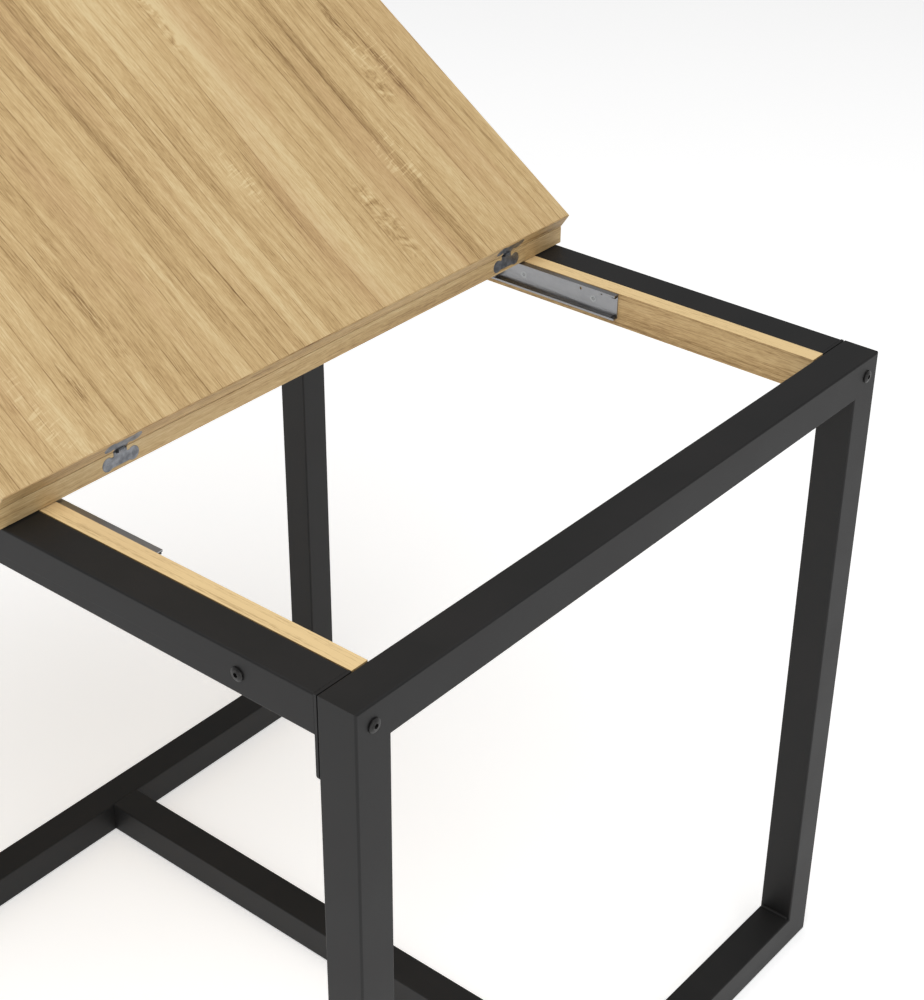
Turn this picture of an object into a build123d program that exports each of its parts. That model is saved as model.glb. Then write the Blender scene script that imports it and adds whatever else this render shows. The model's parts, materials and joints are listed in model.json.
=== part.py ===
"""Slide-and-fold extending table.

A welded steel tube frame carries a top made of two equal boards, one on the other, hinged together along one
edge. The pair slides half its length on ball runners, and the upper board, the leaf, then folds over to double
the table. The model stands as it is being opened: slid out fully, with the leaf part way up.

Millimetres. X runs along the table, and its near end, where the leaf comes down, is +X. The left side is -Y and
the right side +Y. Z is up from the floor. The origin is on the floor, in the middle of the frame.
"""
import os

from build123d import *

# --- frame: driving dimensions --------------------------------------------------------------------
frame_length = 765.0
frame_width = 740.0
frame_height = 735.0
tube_side = 38.0
tube_wall = 1.5
tube_corner_r = 2.0
tube_inner_r = 0.6
foot_chamfer = 2.0
weld_leg = 3.0
plate_thickness = 3.0
plate_drop = 42.0
plate_corner_r = 6.0

# --- boards ---------------------------------------------------------------------------------------
board_thickness = 18.0
board_overhang = 5.0
edge_band_thickness = 1.0
board_gap = 0.3
top_gap = 1.0
leaf_angle = 34.0

# --- aprons, the wooden boards inside the side rails ----------------------------------------------
apron_thickness = 18.0
apron_height = 37.0
apron_end_clearance = 0.5
apron_rebate_height = 5.0
apron_rebate_depth = 1.5
apron_bolt_from_end = 118.0

# --- ball runners ---------------------------------------------------------------------------------
runner_length = 238.0
runner_below_top = 0.8
runner_depth = 10.0
outer_height = 27.4
outer_depth = 7.0
outer_sheet = 1.2
outer_lip = 0.9
middle_height = 19.4
middle_back = 2.0
middle_depth = 6.6
middle_sheet = 1.0
middle_lip = 1.3
inner_height = 11.2
inner_depth = 5.6
inner_sheet = 1.0
middle_travel_ratio = 0.78
ball_r = 1.3
balls_in_row = 7
ball_pitch = 11.0
cage_length = 76.0
cage_sheet = 0.4
cage_gap = 0.25
cage_past_balls = 0.25
ball_row_shift = 0.3
ball_pocket_depth = 2.0
ball_pocket_clearance = 0.1
bumper_length = 4.5
bumper_height = 2.3
bumper_clearance = 0.1
stop_slot_from_end = 46.0
stop_slot_size = (2.0, 6.0)
stop_slot_below_flange = 1.0
runner_dot_from_end = 20.0
runner_dot_r = 1.2

# --- battens that carry the top on the runners ----------------------------------------------------
batten_thickness = 18.0
batten_below_board = 28.0

# --- hinges ---------------------------------------------------------------------------------------
left_hinge_from_side = 132.5
right_hinge_from_side = 92.5
hinge_plate_thickness = 2.5
hinge_lobe_r = 6.5
hinge_lobe_spacing = 28.0
hinge_lobe_offset = 0.5
hinge_neck_width = 15.0
hinge_waist = 1.5
hinge_knuckle_side_gap = 0.6
hinge_ear_root = 1.0
hinge_recess_clearance = 0.1
hinge_axis_offset = 0.4
hinge_pin_r = 1.25
hinge_pin_clearance = 0.05
hinge_eye_r = 2.4
hinge_eye_clearance = 0.4
hinge_ear_thickness = 1.5
hinge_ear_gap = 0.3

# --- fasteners ------------------------------------------------------------------------------------
bolt_r = 3.0
bolt_hole_r = 3.3
bolt_head_r = 6.2
bolt_head_height = 2.8
bolt_head_round = 2.2
bolt_socket_across = 4.0
bolt_socket_depth = 1.8
bolt_past_nut = 2.0
nut_across = 10.0
nut_height = 5.0
nut_bore_clearance = 0.02
rivet_nut_r = 4.5
rivet_nut_length = 14.0
rivet_flange_r = 6.5
rivet_flange_height = 1.0
rivet_flange_clearance = 0.1
insert_nut_r = 5.0
insert_nut_length = 13.0
insert_bolt_depth = 11.0
wood_screw_r = 1.75
wood_screw_head_r = 3.6
wood_screw_head_height = 2.0
screw_recess_width = 0.9
screw_recess_depth = 1.2
screw_tip = 2.5
screw_tip_r = 0.2
screw_bore_clearance = 0.02
pan_head_r = 3.2
pan_head_height = 1.6
pan_head_round = 0.72
outer_screw_length = 14.0
inner_screw_length = 14.0
hinge_screw_length = 20.0
batten_screw_length = 38.0
screw_row_inset = 30.0

# --- places worked out from the dimensions --------------------------------------------------------
half_length = frame_length / 2
half_width = frame_width / 2
end_inner_x = half_length - tube_side
board_length = frame_length + 2 * board_overhang
board_width = frame_width + 2 * board_overhang
top_travel = board_length / 2
board_bottom_z = frame_height + top_gap
board_top_z = board_bottom_z + board_thickness
leaf_bottom_z = board_top_z + board_gap
hinge_x = hinge_axis_offset
hinge_z = board_top_z + board_gap / 2
apron_y = half_width - tube_side
apron_face_y = apron_y - apron_thickness
runner_z = frame_height - runner_below_top - outer_height / 2
batten_y = apron_face_y - runner_depth
top_x = -top_travel / 2
middle_x = middle_travel_ratio * top_x
hinge_ys = {
    "left": -board_width / 2 + left_hinge_from_side,
    "right": board_width / 2 - right_hinge_from_side,
}
screw_xs = [-runner_length / 2 + screw_row_inset, 0.0, runner_length / 2 - screw_row_inset]
leaf_axis = Axis((hinge_x, 0, hinge_z), (0, 1, 0))


def block(low, high):
    """A box between two opposite corners."""
    size = [high[i] - low[i] for i in range(3)]
    middle = [(high[i] + low[i]) / 2 for i in range(3)]
    return Pos(*middle) * Box(*size)


def mirrored(shape):
    """The same shape, of one solid or several, on the other side of the table."""
    solids = [solid.mirror(Plane.XZ) for solid in shape.solids()]
    return solids[0] if len(solids) == 1 else group(solids)


def facing(origin, direction, across=(0, 1, 0)):
    """A place whose local +Z points along direction and whose local +X points along across."""
    return Plane(origin=origin, x_dir=across, z_dir=direction)


def group(shapes):
    """Several separate solids as one node."""
    return Compound(children=[solid for shape in shapes for solid in shape.solids()])


# --- fasteners ------------------------------------------------------------------------------------
def button_bolt(shank_length):
    """A button-head bolt with a hex socket; its head sits on local z = 0 and its shank runs down -Z."""
    head = extrude(Circle(bolt_head_r), bolt_head_height)
    head = fillet(head.edges().sort_by(Axis.Z)[-1], bolt_head_round)
    socket = extrude(RegularPolygon(bolt_socket_across / 2, 6, major_radius=False), bolt_socket_depth)
    shank = Pos(0, 0, -shank_length) * extrude(Circle(bolt_r), shank_length)
    return head + shank - Pos(0, 0, bolt_head_height - bolt_socket_depth) * socket


def bolt_hole(length):
    """The clearance hole that a bolt passes, down -Z from local z = 0."""
    return Pos(0, 0, -length / 2) * Cylinder(bolt_hole_r, length)


def hex_nut():
    """A plain nut from local z = 0 down -Z."""
    body = extrude(RegularPolygon(nut_across / 2, 6, major_radius=False), nut_height)
    bore = extrude(Circle(bolt_r + nut_bore_clearance), nut_height)
    return Pos(0, 0, -nut_height) * (body - bore)


def rivet_nut():
    """A flanged rivet nut, its flange on local z = 0 and its barrel down -Z."""
    flange = extrude(Circle(rivet_flange_r), rivet_flange_height)
    barrel = Pos(0, 0, -rivet_nut_length) * extrude(Circle(rivet_nut_r), rivet_nut_length)
    bore = Cylinder(bolt_r + nut_bore_clearance, 4 * rivet_nut_length)
    return flange + barrel - bore


def insert_nut():
    """A threaded insert for wood, flush with local z = 0, down -Z."""
    body = Pos(0, 0, -insert_nut_length) * extrude(Circle(insert_nut_r), insert_nut_length)
    bore_depth = insert_bolt_depth + bolt_past_nut / 2
    bore = Pos(0, 0, -bore_depth) * extrude(Circle(bolt_r + nut_bore_clearance), bore_depth)
    return body - bore


def screw_profile(length, head_r, extra):
    """Half the outline of a countersunk screw, grown by extra, turned about Z."""
    r = wood_screw_r + extra
    neck = -wood_screw_head_height
    tip = [(r, -length + screw_tip), (screw_tip_r + extra, -length), (0, -length)]
    outline = Polyline((0, 0), (head_r + extra, 0), (r, neck), *tip, (0, 0))
    face = make_face(Plane.XZ * outline)
    return revolve(face, Axis.Z)


def cross_recess(z_top):
    """The cross that a driver fits, cut down from z_top."""
    bar = Box(screw_recess_width, 2 * wood_screw_r, screw_recess_depth)
    cross = bar + Rot(0, 0, 90) * bar
    return Pos(0, 0, z_top - screw_recess_depth / 2) * cross


def countersunk_screw(length):
    """A wood screw with its head flush with local z = 0, down -Z."""
    return screw_profile(length, wood_screw_head_r, 0) - cross_recess(0)


def countersunk_bore(length):
    return screw_profile(length, wood_screw_head_r, screw_bore_clearance)


def pan_screw(length):
    """A pan-head screw: its head stands on local z = 0 and its shank runs down -Z."""
    head = extrude(Circle(pan_head_r), pan_head_height)
    head = fillet(head.edges().sort_by(Axis.Z)[-1], pan_head_round)
    return head + screw_profile(length, wood_screw_r, 0) - cross_recess(pan_head_height)


def pan_bore(length):
    return screw_profile(length, wood_screw_r, screw_bore_clearance)


# --- frame ----------------------------------------------------------------------------------------
def square_tube(length):
    """A tube up local +Z from z = 0."""
    outside = RectangleRounded(tube_side, tube_side, tube_corner_r)
    hollow = tube_side - 2 * tube_wall
    inside = RectangleRounded(hollow, hollow, tube_inner_r)
    return extrude(outside - inside, length)


def mitre_cut(margin=5.0):
    """The wedge that leaves a 45 degree end, with the short side of the tube on local +X."""
    half = tube_side / 2
    outline = Polyline(
        (-half - margin, -margin), (half + margin, -margin), (half + margin, 2 * half + margin), close=True
    )
    wedge = extrude(make_face(Plane.XZ * outline), tube_side, both=True)
    return wedge


def mitred_tube(length):
    """A tube up local +Z, mitred at both ends towards local +X."""
    other_end = Pos(0, 0, length) * mitre_cut().mirror(Plane.XY)
    return square_tube(length) - mitre_cut() - other_end


def foot_chamfers():
    """What is taken off the outer corners of both floor bars."""
    cut = []
    side = foot_chamfer * 2**0.5
    for end in (-1, 1):
        for side_sign in (-1, 1):
            corner = Pos(end * (half_length - tube_side / 2), side_sign * half_width, 0)
            cut.append(corner * Rot(45, 0, 0) * Box(tube_side + 1, side, side))
    return cut


def rail_bolt_places():
    """Head places of the bolts that hold the rails, at the middle of each upper corner of the end frames."""
    places = []
    for end in (-1, 1):
        for side_sign in (-1, 1):
            y = side_sign * (half_width - tube_side / 2)
            places.append(facing((end * half_length, y, frame_height - tube_side / 2), (end, 0, 0)))
    return places


def plate_bolt_places():
    """Head places of the lower bolts, on the inner faces of the rails' end plates."""
    places = []
    z = frame_height - tube_side - plate_drop / 2
    for end in (-1, 1):
        for side_sign in (-1, 1):
            y = side_sign * (half_width - tube_side / 2)
            places.append(facing((end * (end_inner_x - plate_thickness), y, z), (-end, 0, 0)))
    return places


def stretcher_bolt_places():
    return [facing((end * half_length, 0, tube_side / 2), (end, 0, 0)) for end in (-1, 1)]


def apron_bolt_places():
    """Head places of the bolts through the side rails into the aprons."""
    places = []
    z = frame_height - tube_side / 2
    for end in (-1, 1):
        for side_sign in (-1, 1):
            x = end * (half_length - apron_bolt_from_end)
            places.append(facing((x, side_sign * half_width, z), (0, side_sign, 0), (1, 0, 0)))
    return places


def end_frame(end):
    """The four mitred tubes of one end, as a dict of solids."""
    x = end * (half_length - tube_side / 2)
    half = tube_side / 2
    tubes = {
        "left_leg": facing((x, -half_width + half, 0), (0, 0, 1), (0, 1, 0)) * mitred_tube(frame_height),
        "right_leg": facing((x, half_width - half, 0), (0, 0, 1), (0, -1, 0)) * mitred_tube(frame_height),
        "bottom_bar": facing((x, -half_width, half), (0, 1, 0), (0, 0, 1)) * mitred_tube(frame_width),
        "top_bar": facing((x, -half_width, frame_height - half), (0, 1, 0), (0, 0, -1)) * mitred_tube(frame_width),
    }
    holes = [place * bolt_hole(3 * tube_side) for place in rail_bolt_places()]
    holes += [place * bolt_hole(tube_side + tube_wall) for place in stretcher_bolt_places()]
    barrel = Cylinder(rivet_nut_r, 2 * (plate_thickness + tube_wall + 1))
    holes += [place * barrel for place in plate_bolt_places()]
    cuts = holes + foot_chamfers()
    return {name: tube - cuts for name, tube in tubes.items()}


def corner_welds():
    """The fillet welds in the inner corners of both end frames."""
    run = tube_side - 2 * tube_corner_r
    outline = Polyline((0, 0), (weld_leg, 0), (0, weld_leg), close=True)
    bead = extrude(make_face(Plane.YZ * outline), run / 2, both=True)
    welds = []
    for end in (-1, 1):
        x = end * (half_length - tube_side / 2)
        lower = Pos(x, -half_width + tube_side, tube_side) * bead
        upper = Pos(x, -half_width + tube_side, frame_height - tube_side) * bead.mirror(Plane.XY)
        welds += [lower, upper, mirrored(lower), mirrored(upper)]
    return group(welds)


def side_rail():
    """The left side rail, between the plates welded on its ends."""
    length = 2 * (end_inner_x - plate_thickness)
    y = -half_width + tube_side / 2
    rail = facing((-length / 2, y, frame_height - tube_side / 2), (1, 0, 0)) * square_tube(length)
    holes = [place * bolt_hole(tube_side + 1) for place in apron_bolt_places()]
    return rail - holes


def rail_end_plates():
    """The left rail's two end plates, which hang below it against the legs."""
    height = tube_side + plate_drop
    face = Rectangle(tube_side, height)
    face = fillet(face.vertices().sort_by(Axis.Y)[:2], plate_corner_r)
    plates = []
    z = frame_height - height / 2
    for end in (-1, 1):
        x = end * (end_inner_x - plate_thickness)
        y = -half_width + tube_side / 2
        sheet = extrude(face, plate_thickness)
        turned = Plane(origin=(x, y, z), x_dir=(0, end, 0), z_dir=(end, 0, 0)) * sheet
        plates.append(turned)
    passing = Cylinder(bolt_hole_r, 6 * tube_side)
    holes = [place * passing for place in rail_bolt_places()]
    holes += [place * Cylinder(bolt_hole_r, 2 * plate_thickness + 1) for place in plate_bolt_places()]
    seat = Cylinder(rivet_flange_r + rivet_flange_clearance, 2 * (rivet_flange_height + rivet_flange_clearance))
    holes += [place * Pos(0, 0, -plate_thickness) * seat for place in plate_bolt_places()]
    return group([plate - holes for plate in plates])


def floor_stretcher():
    length = 2 * end_inner_x
    return facing((-end_inner_x, 0, tube_side / 2), (1, 0, 0)) * square_tube(length)


def stretcher_end_plates():
    """The plates welded inside both ends of the stretcher, flush with them."""
    side = tube_side - 2 * tube_wall
    plates = []
    for end in (-1, 1):
        sheet = Pos(0, 0, -plate_thickness) * extrude(RectangleRounded(side, side, tube_inner_r), plate_thickness)
        hole = Cylinder(bolt_hole_r, 4 * plate_thickness)
        plates.append(facing((end * end_inner_x, 0, tube_side / 2), (end, 0, 0)) * (sheet - hole))
    return group(plates)


def rail_bolt_length():
    return tube_side + plate_thickness + nut_height + bolt_past_nut


def rail_nuts(places):
    """Nuts welded behind the plates that the bolts at these places reach."""
    depth = tube_side + plate_thickness
    return group([place * Pos(0, 0, -depth) * hex_nut() for place in places])


def leg_rivet_nuts():
    """Rivet nuts in the legs' inner faces, with their flanges let into the backs of the end plates."""
    return group([place * Pos(0, 0, -plate_thickness) * rivet_nut() for place in plate_bolt_places()])


# --- aprons ---------------------------------------------------------------------------------------
def apron():
    """The left apron, with the rebate along its lower inner edge."""
    reach = end_inner_x - apron_end_clearance
    board = block(
        (-reach, -apron_y, frame_height - apron_height),
        (reach, -apron_face_y, frame_height),
    )
    rebate = block(
        (-reach - 1, -apron_face_y - apron_rebate_depth, frame_height - apron_height - 1),
        (reach + 1, -apron_face_y + 1, frame_height - apron_height + apron_rebate_height),
    )
    inserts = [place * Pos(0, 0, -tube_side) * Cylinder(insert_nut_r, 2 * insert_nut_length)
               for place in apron_bolt_places()]
    screws = [place * countersunk_bore(outer_screw_length) for place in outer_screw_places()]
    return board - rebate - inserts - screws


def apron_inserts():
    return group([place * Pos(0, 0, -tube_side) * insert_nut() for place in apron_bolt_places()])


# --- runners, built for the left side -------------------------------------------------------------
def channel(back, height, depth, sheet, lip, length):
    """A lipped channel along X that opens towards +Y; its back is at y = back."""
    half = height / 2
    body = block((-length / 2, back, -half), (length / 2, back + depth, half))
    body -= block((-length, back + sheet, -half + sheet), (length, back + depth + 1, half - sheet))
    if lip:
        for sign in (-1, 1):
            low = min(sign * (half - sheet), sign * (half - sheet - lip))
            high = max(sign * (half - sheet), sign * (half - sheet - lip))
            body += block((-length / 2, back + depth - sheet, low), (length / 2, back + depth, high))
    return body


def runner_frame(x=0.0):
    """The place of a left runner's own axes: y = 0 on the apron's face, z = 0 at mid-height."""
    return Pos(x, -apron_face_y, runner_z)


def outer_screw_places():
    """Head places of the screws through the outer member's back into the apron."""
    y = -apron_face_y + outer_sheet
    return [facing((x, y, runner_z), (0, 1, 0), (1, 0, 0)) for x in screw_xs]


def inner_screw_places():
    """Head places of the screws through the inner member's back into the batten."""
    y = -batten_y - inner_sheet
    return [facing((top_x + x, y, runner_z), (0, -1, 0), (1, 0, 0)) for x in screw_xs]


def runner_outer():
    member = channel(0, outer_height, outer_depth, outer_sheet, outer_lip, runner_length)
    width, height = stop_slot_size
    slot_z = outer_height / 2 - outer_sheet - height / 2 - stop_slot_below_flange
    for end in (-1, 1):
        x = end * (runner_length / 2 - stop_slot_from_end)
        member -= Pos(x, 0, slot_z) * Box(width, 4 * outer_sheet, height)
        x = end * (runner_length / 2 - runner_dot_from_end)
        member -= Pos(x, 0, slot_z) * Rot(90, 0, 0) * Cylinder(runner_dot_r, 4 * outer_sheet)
    member = runner_frame() * member
    return member - [place * countersunk_bore(outer_screw_length) for place in outer_screw_places()]


def raceway_bumpers():
    """Plastic bumpers at both ends of the outer member's two raceways."""
    top = outer_height / 2 - outer_sheet - bumper_clearance
    bumpers = []
    for end in (-1, 1):
        for sign in (-1, 1):
            z = sign * (top - bumper_height / 2)
            x = end * (runner_length / 2 - bumper_length / 2)
            depth = outer_depth - 2 * outer_sheet - 2 * bumper_clearance
            y = outer_depth / 2
            bumpers.append(runner_frame() * Pos(x, y, z) * Box(bumper_length, depth, bumper_height))
    return bumpers


def runner_middle():
    member = channel(middle_back, middle_height, middle_depth, middle_sheet, middle_lip, runner_length)
    return runner_frame(middle_x) * member


def runner_inner():
    """The inner member: a plain channel with its back on the batten."""
    member = channel(-runner_depth, inner_height, inner_depth, inner_sheet, 0, runner_length)
    member = runner_frame(top_x) * member.mirror(Plane.XZ)
    return member - [place * Cylinder(bore_r(), 4 * inner_sheet) for place in inner_screw_places()]


def bore_r():
    return wood_screw_r + screw_bore_clearance


def outer_cage_shape():
    """Sizes of the cage between the outer and middle members: back, row height and reach."""
    row_z = (outer_height / 2 - outer_sheet + middle_height / 2) / 2
    back = outer_sheet + cage_gap
    ball_y = outer_depth / 2 + ball_row_shift
    return back, row_z, ball_y


def inner_cage_shape():
    """The same for the cage between the middle and inner members."""
    row_z = (middle_height / 2 - middle_sheet + inner_height / 2) / 2
    back = middle_back + middle_sheet + cage_gap
    ball_y = runner_depth - inner_depth + ball_r - ball_row_shift
    return back, row_z, ball_y


def ball_places(shape):
    back, row_z, ball_y = shape
    first = -ball_pitch * (balls_in_row - 1) / 2
    return [Pos(first + ball_pitch * n, ball_y, sign * row_z) for n in range(balls_in_row) for sign in (-1, 1)]


def ball_cage(shape, x):
    """A thin folded strip with a pocket for each ball."""
    back, row_z, ball_y = shape
    reach = ball_y + ball_r + cage_past_balls
    height = 2 * row_z + cage_sheet
    strip = channel(back, height, reach - back, cage_sheet, 0, cage_length)
    pocket = Cylinder(ball_r + ball_pocket_clearance, ball_pocket_depth)
    strip -= [place * pocket for place in ball_places(shape)]
    return runner_frame(x) * strip


def cage_balls(shape, x):
    return [runner_frame(x) * place * Sphere(ball_r) for place in ball_places(shape)]


# --- the top --------------------------------------------------------------------------------------
def batten():
    """The left batten, screwed under the lower board."""
    body = block(
        (top_x - runner_length / 2, -batten_y, board_bottom_z - batten_below_board),
        (top_x + runner_length / 2, -batten_y + batten_thickness, board_bottom_z),
    )
    upright = [place * countersunk_bore(batten_screw_length) for place in batten_screw_places()]
    flat = [place * pan_bore(inner_screw_length) for place in inner_screw_places()]
    return body - upright - flat


def batten_screw_places():
    """Head places of the upright screws, set between the runner's screws."""
    y = -batten_y + batten_thickness / 2
    shift = screw_row_inset / 2
    z = board_bottom_z - batten_below_board
    return [facing((top_x + x + shift, y, z), (0, 0, -1), (1, 0, 0)) for x in screw_xs]


def hinge_outline(extra):
    """A hinge plate's face: two lobes and the neck that rises to the joint, about the joint line's middle."""
    lobe_z = -board_thickness / 2 - hinge_lobe_offset
    lobes = [Pos(sign * hinge_lobe_spacing / 2, lobe_z) * Circle(hinge_lobe_r + extra) for sign in (-1, 1)]
    bridge = Pos(0, lobe_z) * Rectangle(hinge_lobe_spacing, 2 * (hinge_lobe_r - hinge_waist + extra))
    neck_height = -lobe_z
    neck = Pos(0, lobe_z + neck_height / 2) * Rectangle(hinge_neck_width + 2 * extra, neck_height)
    return lobes[0] + lobes[1] + bridge + neck


def hinge_face_place(y, depth=0.0):
    """The lower board's edge at a hinge: local X runs along the edge, local Y up and local Z out of the edge."""
    return Plane(origin=(-depth, y, board_top_z), x_dir=(0, 1, 0), z_dir=(1, 0, 0))


def ear_starts(first):
    """Where each ear of a plate begins across the knuckle; the plates' ears take turns."""
    pitch = hinge_ear_thickness + hinge_ear_gap
    start = -2 * pitch + hinge_ear_gap / 2
    return [start + pitch * (2 * n + first) for n in range(2)]


def knuckle_space(y):
    """The round space that the eyes turn in."""
    width = 4 * (hinge_ear_thickness + hinge_ear_gap) + 2 * (hinge_ear_gap + hinge_knuckle_side_gap)
    radius = hinge_eye_r + hinge_eye_clearance
    return Pos(hinge_x, y, hinge_z) * Rot(90, 0, 0) * Cylinder(radius, width)


def lower_hinge_plate(y, first=0, bore_extra=hinge_pin_clearance):
    """A plate let into the lower board's edge, with its two ears round the pin."""
    sheet = hinge_face_place(y, hinge_plate_thickness) * extrude(hinge_outline(0), hinge_plate_thickness)
    sheet -= knuckle_space(y)
    for start in ear_starts(first):
        middle = y + start + hinge_ear_thickness / 2
        eye = Pos(hinge_x, middle, hinge_z) * Rot(90, 0, 0) * Cylinder(hinge_eye_r, hinge_ear_thickness)
        neck_low = hinge_z - hinge_eye_r - 2 * hinge_eye_clearance - hinge_ear_root
        neck = block(
            (-hinge_plate_thickness, middle - hinge_ear_thickness / 2, neck_low),
            (0, middle + hinge_ear_thickness / 2, board_top_z),
        )
        sheet += eye + neck
    bore = Pos(hinge_x, y, hinge_z) * Rot(90, 0, 0) * Cylinder(hinge_pin_r + bore_extra, hinge_lobe_spacing)
    screws = [place * countersunk_bore(hinge_screw_length) for place in hinge_screw_places(y)]
    return sheet - bore - screws


def to_leaf(shape):
    """A shape of the lower board's edge, turned over the joint onto the closed leaf."""
    return shape.mirror(Plane(origin=(0, 0, hinge_z), x_dir=(1, 0, 0), z_dir=(0, 0, 1)))


def hinge_screw_places(y):
    z = board_top_z - board_thickness / 2 - hinge_lobe_offset
    return [facing((0, y + sign * hinge_lobe_spacing / 2, z), (1, 0, 0)) for sign in (-1, 1)]


def hinge_recesses():
    """Everything that the hinges take out of the lower board's edge."""
    cuts = []
    for y in hinge_ys.values():
        outline = hinge_outline(hinge_recess_clearance)
        cuts.append(hinge_face_place(y, hinge_plate_thickness) * extrude(outline, 2 * hinge_plate_thickness))
        cuts.append(knuckle_space(y))
        cuts += [place * countersunk_bore(hinge_screw_length) for place in hinge_screw_places(y)]
    return cuts


def hinge_pins():
    length = 4 * (hinge_ear_thickness + hinge_ear_gap) + hinge_ear_gap
    pin = Rot(90, 0, 0) * Cylinder(hinge_pin_r, length)
    return group([Pos(hinge_x, y, hinge_z) * pin for y in hinge_ys.values()])


def board_core():
    """The lower board without its edge bands."""
    band = edge_band_thickness
    half = board_width / 2 - band
    return block((-board_length + band, -half, board_bottom_z), (-band, half, board_top_z))


def edge_bands():
    """The four bands on the lower board's edges: the long ones run the whole length."""
    band = edge_band_thickness
    half = board_width / 2
    low, high = board_bottom_z, board_top_z
    return [
        block((-board_length, -half, low), (0, -half + band, high)),
        block((-board_length, half - band, low), (0, half, high)),
        block((-board_length, -half + band, low), (-board_length + band, half - band, high)),
        block((-band, -half + band, low), (0, half - band, high)),
    ]


def raised(shape):
    """A closed leaf's shape, lifted to the angle that the table stands at."""
    return shape.rotate(leaf_axis, leaf_angle)


def lower_board():
    uprights = [place * countersunk_bore(batten_screw_length) for place in batten_screw_places()]
    uprights += [mirrored(cut) for cut in uprights]
    return board_core() - hinge_recesses() - uprights


def build():
    """All nodes by name."""
    nodes = {}
    for end, name in ((1, "near"), (-1, "far")):
        for part, solid in end_frame(end).items():
            nodes[f"{name}_{part}"] = solid
    nodes["corner_welds"] = corner_welds()
    nodes["floor_stretcher"] = floor_stretcher()
    nodes["stretcher_end_plates"] = stretcher_end_plates()
    nodes["stretcher_bolts"] = group([p * button_bolt(rail_bolt_length()) for p in stretcher_bolt_places()])
    nodes["stretcher_nuts"] = rail_nuts(stretcher_bolt_places())
    nodes["rail_bolts"] = group([p * button_bolt(rail_bolt_length()) for p in rail_bolt_places()])
    nodes["rail_nuts"] = rail_nuts(rail_bolt_places())
    plate_bolt = button_bolt(plate_thickness + rivet_nut_length + bolt_past_nut)
    nodes["plate_bolts"] = group([p * plate_bolt for p in plate_bolt_places()])
    nodes["leg_rivet_nuts"] = leg_rivet_nuts()
    nodes["apron_bolts"] = group([p * button_bolt(tube_side + insert_bolt_depth) for p in apron_bolt_places()])
    nodes["apron_insert_nuts"] = apron_inserts()

    sided = {
        "side_rail": side_rail(),
        "rail_end_plates": rail_end_plates(),
        "apron": apron(),
        "runner_outer": runner_outer(),
        "runner_middle": runner_middle(),
        "runner_inner": runner_inner(),
        "outer_ball_cage": ball_cage(outer_cage_shape(), middle_x / 2),
        "outer_balls": group(cage_balls(outer_cage_shape(), middle_x / 2)),
        "inner_ball_cage": ball_cage(inner_cage_shape(), (middle_x + top_x) / 2),
        "inner_balls": group(cage_balls(inner_cage_shape(), (middle_x + top_x) / 2)),
        "batten": batten(),
    }
    for name, solid in sided.items():
        nodes[f"left_{name}"] = solid
        nodes[f"right_{name}"] = mirrored(solid)

    both_sides = {
        "raceway_bumpers": raceway_bumpers(),
        "outer_runner_screws": [p * countersunk_screw(outer_screw_length) for p in outer_screw_places()],
        "inner_runner_screws": [p * pan_screw(inner_screw_length) for p in inner_screw_places()],
        "batten_screws": [p * countersunk_screw(batten_screw_length) for p in batten_screw_places()],
    }
    for name, solids in both_sides.items():
        nodes[name] = group(solids + [mirrored(solid) for solid in solids])

    board = lower_board()
    bands = [band - hinge_recesses() for band in edge_bands()]
    screws = [p * countersunk_screw(hinge_screw_length) for y in hinge_ys.values() for p in hinge_screw_places(y)]
    nodes["lower_board"] = board
    nodes["lower_board_edge_bands"] = group(bands)
    nodes["lower_hinge_screws"] = group(screws)
    nodes["hinge_pins"] = hinge_pins()
    nodes["leaf_board"] = raised(to_leaf(board_core() - hinge_recesses()))
    nodes["leaf_edge_bands"] = group([raised(to_leaf(band)) for band in bands])
    nodes["upper_hinge_screws"] = group([raised(to_leaf(screw)) for screw in screws])
    for name, y in hinge_ys.items():
        nodes[f"{name}_hinge_lower_plate"] = lower_hinge_plate(y)
        nodes[f"{name}_hinge_upper_plate"] = raised(to_leaf(lower_hinge_plate(y, first=1)))
    return nodes


os.makedirs("parts", exist_ok=True)
for node, shape in build().items():
    export_step(shape, f"parts/{node}.step")
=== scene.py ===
# %% [markdown]
# # A slide-and-fold extending table
# The table is a welded steel frame with two equal boards on top, one on the other and hinged along one
# edge. The pair slides out on ball runners, and the upper board, the leaf, then folds over. The packed
# model gives every part its place, so this script starts by loading it and takes its pieces' positions
# from it. What is left for Blender is what an engineer's model leaves out: soft edges, weld ripples,
# screw threads, and above all the finishes.

# %% Load the engineering model
import json
import random
from math import cos, pi, radians, sin, sqrt

import bmesh
import bpy
from mathutils import Matrix, Vector

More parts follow.
